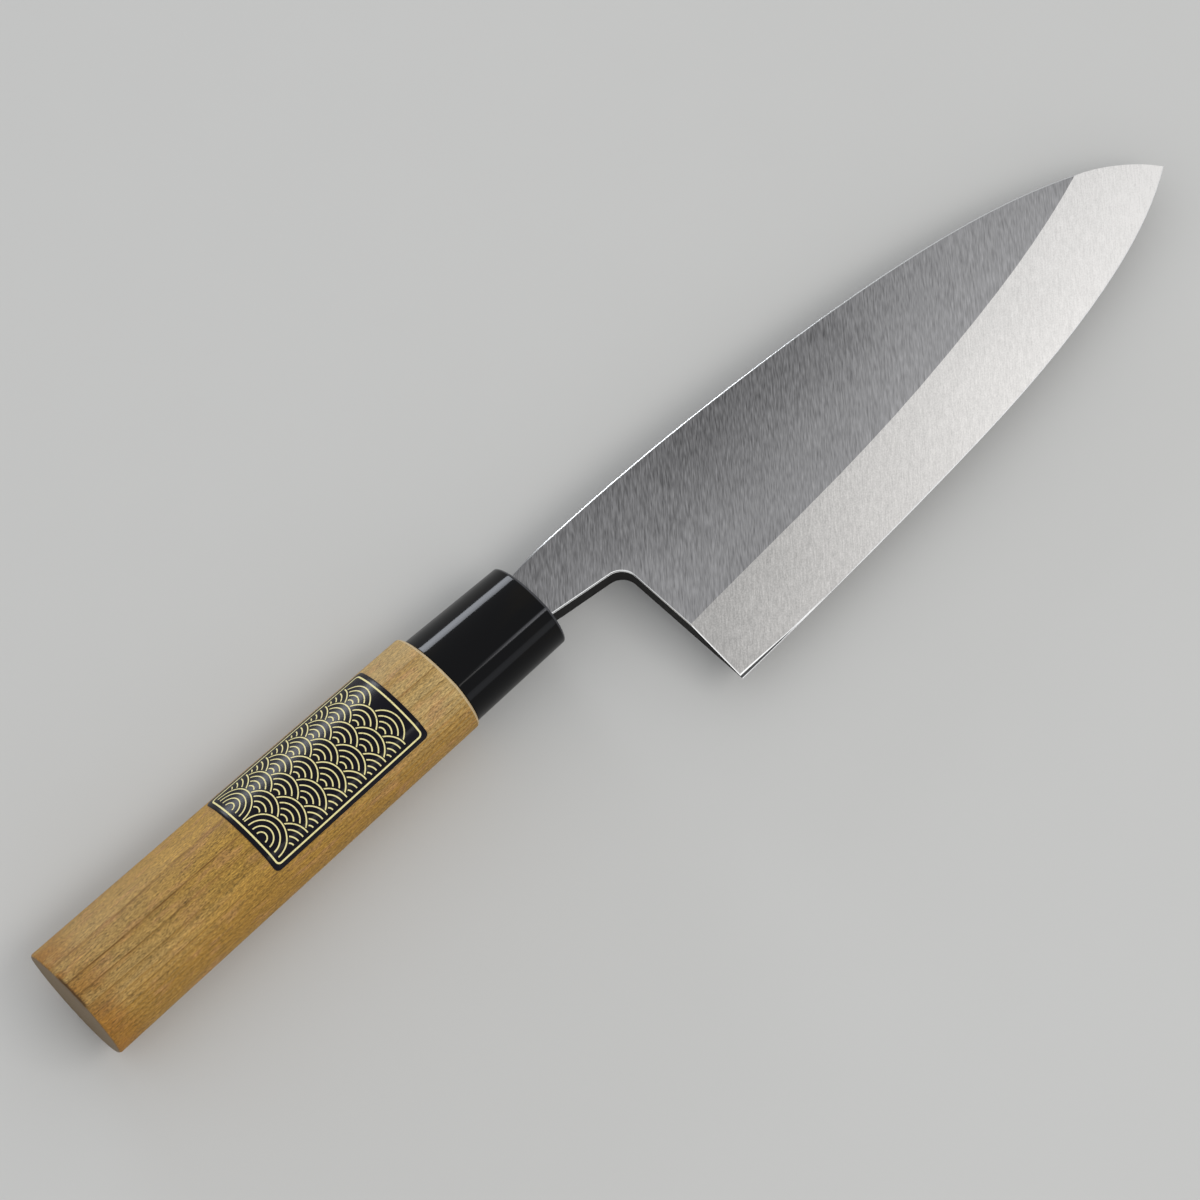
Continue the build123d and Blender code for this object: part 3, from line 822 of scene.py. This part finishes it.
places = [(GRIP_LENGTH, -BACK_EASE - FACE_RIM)]
places += eased_end(GRIP_LENGTH, BACK_EASE, 1)
places += [(x, 0) for x in np.linspace(GRIP_LENGTH + BACK_CLEAR, NOSE_X - NOSE_CLEAR, HORN_RINGS)]
places += eased_end(NOSE_X, FRONT_EASE, -1, NOSE_STEPS)[::-1]
places += [(NOSE_X, -FRONT_EASE - FACE_RIM)]
rings = [ring(x, ferrule_outline(x, growth)) for x, growth in places]
rings += [ring(NOSE_X, slot_outline + reach * FACING) for reach in (SLOT_RIM, SLOT_LIP)]
depths = (SLOT_LIP, SLOT_DEPTH - SLOT_FLOOR, SLOT_DEPTH)
rings += [ring(NOSE_X - down, slot_outline) for down in depths]
ferrule_horn = skin("ferrule_horn", rings)
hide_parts("ferrule")
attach(ferrule_horn, "root")

# %% [markdown]
# ## Horn finish
# Polished horn is almost black, with a faint brown cloud deep in it and hair-fine marks from
# the buffing wheel. The marks change the roughness and the normal only a little, because the
# long reflections are what make it look like horn. The front rim and the ridge carry a pale
# painted highlight.


# %% Horn finish
HORN_CLOUD, HORN_MARKS = ((0.05, 0.12, 0.12), 3.0), ((0.08, 4.0, 4.0), 3.0)
HORN_BLACK, HORN_BROWN = (0.002, 0.002, 0.0025, 1), (0.005, 0.004, 0.003, 1)
HORN_HIGHLIGHT, BROWN_EDGE = (0.075, 0.075, 0.082, 1), (0.45, 0.75)
FRONT_FACING, FRONT_HIGHLIGHT, FRONT_UNEVEN = (0.35, 0.8, 0.15), 0.35, 0.5
RIDGE_FACING, RIDGE_UPWARD, RIDGE_HIGHLIGHT = (-0.50, -0.19, 0.05), (0.0, 0.2), 0.9
HORN_ROUGH, MARKS_ROUGH, MARKS_MM, HORN_GLOSS = 0.055, 0.04, 0.0015, 0.13


def polished_horn():
    """Black horn with a faint cloud and buffing marks round it."""
    f = Finish("horn_polished")
    vector, x, _, _ = f.place()
    nx, ny, nz = f.facing()
    cloud = f.noise(vector, *HORN_CLOUD)
    marks = f.noise(vector, *HORN_MARKS)
    tone = f.mix(cloud.ramp(*BROWN_EDGE), HORN_BLACK, HORN_BROWN)
    # Painted highlight: the front rim and the ridge are painted paler.
    front_rim_highlight = nx.band(*FRONT_FACING) * (FRONT_HIGHLIGHT + cloud * FRONT_UNEVEN)
    ridge_highlight = ny.band(*RIDGE_FACING) * nz.ramp(*RIDGE_UPWARD) * x.ramp(GRIP_LENGTH, NOSE_X)
    tone = f.mix(front_rim_highlight.math("MAXIMUM", ridge_highlight * RIDGE_HIGHLIGHT), tone, HORN_HIGHLIGHT)
    return f.shade(
        Base_Color=tone, Roughness=HORN_ROUGH + marks * MARKS_ROUGH,
        Normal=f.bump(marks, MARKS_MM), Specular_IOR_Level=HORN_GLOSS,
    )


wear(ferrule_horn, polished_horn())

# %% [markdown]
# ## Small fillers
# Two fillers of the frame stay as they are: the dark seal round the neck, and the resin round
# the tang, which nobody sees. Both still get a finish of their own.


# %% Small fillers
FILLER_GRAIN, FILLER_RELIEF_MM = ((1.6, 1.6, 1.6), 3.0), 0.03
SEAL_DARK, SEAL_LIGHT, SEAL_ROUGH = (0.02, 0.02, 0.02, 1), (0.07, 0.065, 0.06, 1), 0.7
RESIN_DARK, RESIN_LIGHT, RESIN_ROUGH = (0.3, 0.2, 0.1, 1), (0.4, 0.28, 0.14, 1), 0.4


def filler(name, dark, light, roughness):
    """Cured filler: two close tones in fine grains."""
    f = Finish(name)
    grain = f.noise(f.place()[0], *FILLER_GRAIN)
    tone = f.mix(grain, dark, light)
    return f.shade(Base_Color=tone, Roughness=roughness, Normal=f.bump(grain, FILLER_RELIEF_MM))


wear(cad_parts["neck_seal"], filler("seal_dark", SEAL_DARK, SEAL_LIGHT, SEAL_ROUGH))
wear(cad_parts["tang_bedding"], filler("resin_amber", RESIN_DARK, RESIN_LIGHT, RESIN_ROUGH))

# %% [markdown]
# ## Paper label
# The label is a rounded rectangle of black paper glued over the crown. Flat paper bends but
# does not stretch, so its own coordinates are the distance along the handle and the distance
# round the section. A table of arc length against facing angle turns the second into a place.
# Rings shrink from the outline to the middle, and the outline is walked at even steps, so that
# its straight sides still follow the crown.

# %% Paper label
LABEL_START, LABEL_LENGTH = 48.1, 43.1
LABEL_SPINE_REACH, LABEL_EDGE_REACH = 12.1, 10.4
LABEL_CORNER, LABEL_RISE = 1.2, 0.16
LABEL_MIDDLE = LABEL_START + LABEL_LENGTH / 2
CROWN_START, CROWN_END = 0.04, 0.48
CORNER_POINTS = 9

upper = slice(int(COLUMNS * CROWN_START), int(COLUMNS * CROWN_END))
crown_points = grip_outline(LABEL_MIDDLE, 0)[upper]
crown_angles = ANGLES[upper]
steps = np.hypot(*np.diff(crown_points, axis=0).T)
crown_lengths = np.concatenate([[0], np.cumsum(steps)])
spine_length, edge_length = np.interp(
    [-LABEL_SPINE_REACH, LABEL_EDGE_REACH], -crown_points[:, 0], crown_lengths
)
LABEL_WIDTH = edge_length - spine_length


def label_boundary(count):
    """Even steps round a rounded rectangle about its middle, walked the way that faces it outwards."""
    side = np.array([LABEL_LENGTH, LABEL_WIDTH]) / 2 - LABEL_CORNER
    turns = np.linspace(0, np.pi / 2, CORNER_POINTS)
    quarter = [side + LABEL_CORNER * np.array([math.cos(t), math.sin(t)]) for t in turns]
    back_quarter = quarter[::-1]
    corners = ((1, 1, quarter), (-1, 1, back_quarter), (-1, -1, quarter), (1, -1, back_quarter))
    outline = np.array([(a * p[0], b * p[1]) for a, b, points in corners for p in points])
    outline = np.concatenate([outline, outline[:1]])
    walked = np.concatenate([[0], np.cumsum(np.hypot(*np.diff(outline, axis=0).T))])
    stations = np.linspace(walked[-1], 0, count, endpoint=False)
    return np.stack([np.interp(stations, walked, outline[:, k]) for k in range(2)], -1)


def on_crown(flat, growth):
    """Paper coordinates (along, round) carried onto the wood, grown outwards by a length."""
    x = LABEL_MIDDLE + flat[:, 0]
    length = (spine_length + edge_length) / 2 + flat[:, 1]
    angle = np.interp(length, crown_lengths, crown_angles)
    share = (x / GRIP_LENGTH)[:, None]
    near, far = (
        np.stack([np.interp(angle, ANGLES, section[:, k]) for k in range(2)], -1)
        for section in (butt_section, mouth_section)
    )
    facing = np.stack([np.cos(angle), np.sin(angle)], -1)
    return np.column_stack([x, near + (far - near) * share + growth * facing])


BOUNDARY_POINTS, BACK_RINGS, FACE_RINGS = 288, 22, 40
INNER_SHARE, OUTER_SHARE = 0.02, 0.9975
PAPER_BACK, PAPER_EASE = 0.02, 0.03
boundary = label_boundary(BOUNDARY_POINTS)
paper = [(share, PAPER_BACK) for share in np.linspace(INNER_SHARE, OUTER_SHARE, BACK_RINGS)]
paper += [(1.0, PAPER_EASE), (1.0, LABEL_RISE - PAPER_EASE)]
paper += [(share, LABEL_RISE) for share in np.linspace(OUTER_SHARE, INNER_SHARE, FACE_RINGS)]
label_paper = skin("label_paper", [on_crown(boundary * share, growth) for share, growth in paper])
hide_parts("label")
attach(label_paper, "root")

flat_places = np.concatenate([boundary * share for share, _ in paper] + [np.zeros((2, 2))])
print_map = label_paper.data.uv_layers.new(name="print")
corner_points = np.zeros(len(label_paper.data.loops), int)
label_paper.data.loops.foreach_get("vertex_index", corner_points)
unit = flat_places[corner_points] / (LABEL_LENGTH, LABEL_WIDTH) + 0.5
print_map.data.foreach_set("uv", unit.ravel())
print(f"label is {LABEL_LENGTH:.1f} by {LABEL_WIDTH:.1f} mm laid flat")

# %% [markdown]
# ## Printed label finish
# The print is a thin gold line inside the rim and a field of waves, the old pattern of
# overlapping rings that covers cloth and paper of every kind. Rows of circles stand half a
# radius apart, every other row is set off by a radius, and nearer rows hide farther ones. So
# the shader asks three rows in turn, nearest first, which circle holds the point, and the
# distance from that circle's middle says where its rings run. The radius is the one at which
# whole rows and whole waves fill the field, with the same black margin all round.

# %% Printed label finish
WAVE_ROWS, WAVES_ACROSS = 14, 2
WAVE_RADIUS = (LABEL_LENGTH - LABEL_WIDTH) / (WAVE_ROWS / 2 - 2 * WAVES_ACROSS)
WAVE_MARGIN = LABEL_WIDTH / 2 - WAVES_ACROSS * WAVE_RADIUS
WAVE_RINGS = (0.95, 0.71, 0.47, 0.23)
WAVE_LINE, WAVE_GAP, PRINT_SOFT = 0.12, 0.22, 0.05
KEYLINE_INSET, KEYLINE_HALF, KEYLINE_CORNER = 1.25, 0.17, 0.9
GOLD = (0.86, 0.77, 0.37, 1)
INK = (0.003, 0.002, 0.006, 1)
WEAR, WEAR_EDGE, WORN_GOLD = ((2.5, 2.5, 2.5), 3.0), (0.30, 0.42), 0.55
FLECK = (3.0, 3.0, 3.0), 2.0
PAPER_ROUGH, GOLD_ROUGHER, FLECK_ROUGHER, PAPER_GLOSS = 0.27, 0.15, 0.08, 0.14
FLECK_RELIEF, GOLD_RELIEF, PRINT_RELIEF_MM = 0.5, 0.5, 0.010


def rim_distance(u, v):
    """Distance inwards from the label's rim, in millimetres, with the keyline's corners rounded."""
    half_length = LABEL_LENGTH / 2 - KEYLINE_INSET - KEYLINE_CORNER
    half_width = LABEL_WIDTH / 2 - KEYLINE_INSET - KEYLINE_CORNER
    past_length = u.math("ABSOLUTE") - half_length
    past_width = v.math("ABSOLUTE") - half_width
    outside_length, outside_width = past_length.math("MAXIMUM", 0.0), past_width.math("MAXIMUM", 0.0)
    outside = (outside_length * outside_length + outside_width * outside_width).math("SQRT")
    inside = past_length.math("MAXIMUM", past_width).math("MINIMUM", 0.0)
    return KEYLINE_INSET + KEYLINE_CORNER - (outside + inside)


def wave_distance(across, upward):
    """Distance from the middle of the nearest row's circle that holds the point, none if far off."""
    row_rise = WAVE_RADIUS / 2
    last_row = WAVE_ROWS - 2
    first_row = ((upward - WAVE_RADIUS) / row_rise).math("FLOOR") + 1
    distances = []
    for step in range(3):
        row = first_row + step
        shift = (row % 2.0) * 0.5
        side = ((across / (2 * WAVE_RADIUS) + shift) % 1.0 - 0.5) * (2 * WAVE_RADIUS)
        rise = upward - row * row_rise
        unprinted = row.math("LESS_THAN", -0.5) + row.math("GREATER_THAN", last_row + 0.5)
        distances.append((side * side + rise * rise).math("SQRT") + unprinted * (2 * WAVE_RADIUS))
    near, middle, far = distances
    in_near = near.math("LESS_THAN", WAVE_RADIUS + WAVE_GAP)
    in_middle = middle.math("LESS_THAN", WAVE_RADIUS + WAVE_GAP)
    behind = middle * in_middle + far * (1 - in_middle)
    return near * in_near + behind * (1 - in_near)


def printed_paper():
    """Black paper with a gold keyline and a field of waves, a little worn."""
    f = Finish("label_print")
    uv = f.add("ShaderNodeUVMap", {"uv_map": "print"})
    u = (f.add("ShaderNodeSeparateXYZ", sockets={0: uv}, output=0) - 0.5) * LABEL_LENGTH
    v = (f.add("ShaderNodeSeparateXYZ", sockets={0: uv}, output=1) - 0.5) * LABEL_WIDTH
    vector = f.place()[0]
    whole = f.noise(vector, *WEAR).ramp(*WEAR_EDGE)
    fleck = f.noise(vector, *FLECK)
    rim = rim_distance(u, v)
    keyline = rim.band(KEYLINE_INSET - KEYLINE_HALF, KEYLINE_INSET + KEYLINE_HALF, PRINT_SOFT)
    distance = wave_distance(v, u + LABEL_LENGTH / 2 - WAVE_MARGIN)
    waves = 0.0
    for middle in (share * WAVE_RADIUS for share in WAVE_RINGS):
        waves = waves + distance.band(middle - WAVE_LINE, middle + WAVE_LINE, PRINT_SOFT)
    field = rim.ramp(WAVE_MARGIN - PRINT_SOFT, WAVE_MARGIN + PRINT_SOFT)
    gold = keyline.math("MAXIMUM", waves * field) * (WORN_GOLD + whole * (1 - WORN_GOLD))
    return f.shade(
        Base_Color=f.mix(gold, INK, GOLD),
        Roughness=PAPER_ROUGH + gold * GOLD_ROUGHER + fleck.swing(FLECK_ROUGHER),
        Normal=f.bump(fleck * FLECK_RELIEF + gold * GOLD_RELIEF, PRINT_RELIEF_MM),
        Specular_IOR_Level=PAPER_GLOSS,
    )


wear(label_paper, printed_paper())
print(f"waves of radius {WAVE_RADIUS:.2f} mm, {WAVE_MARGIN:.2f} mm inside the rim")
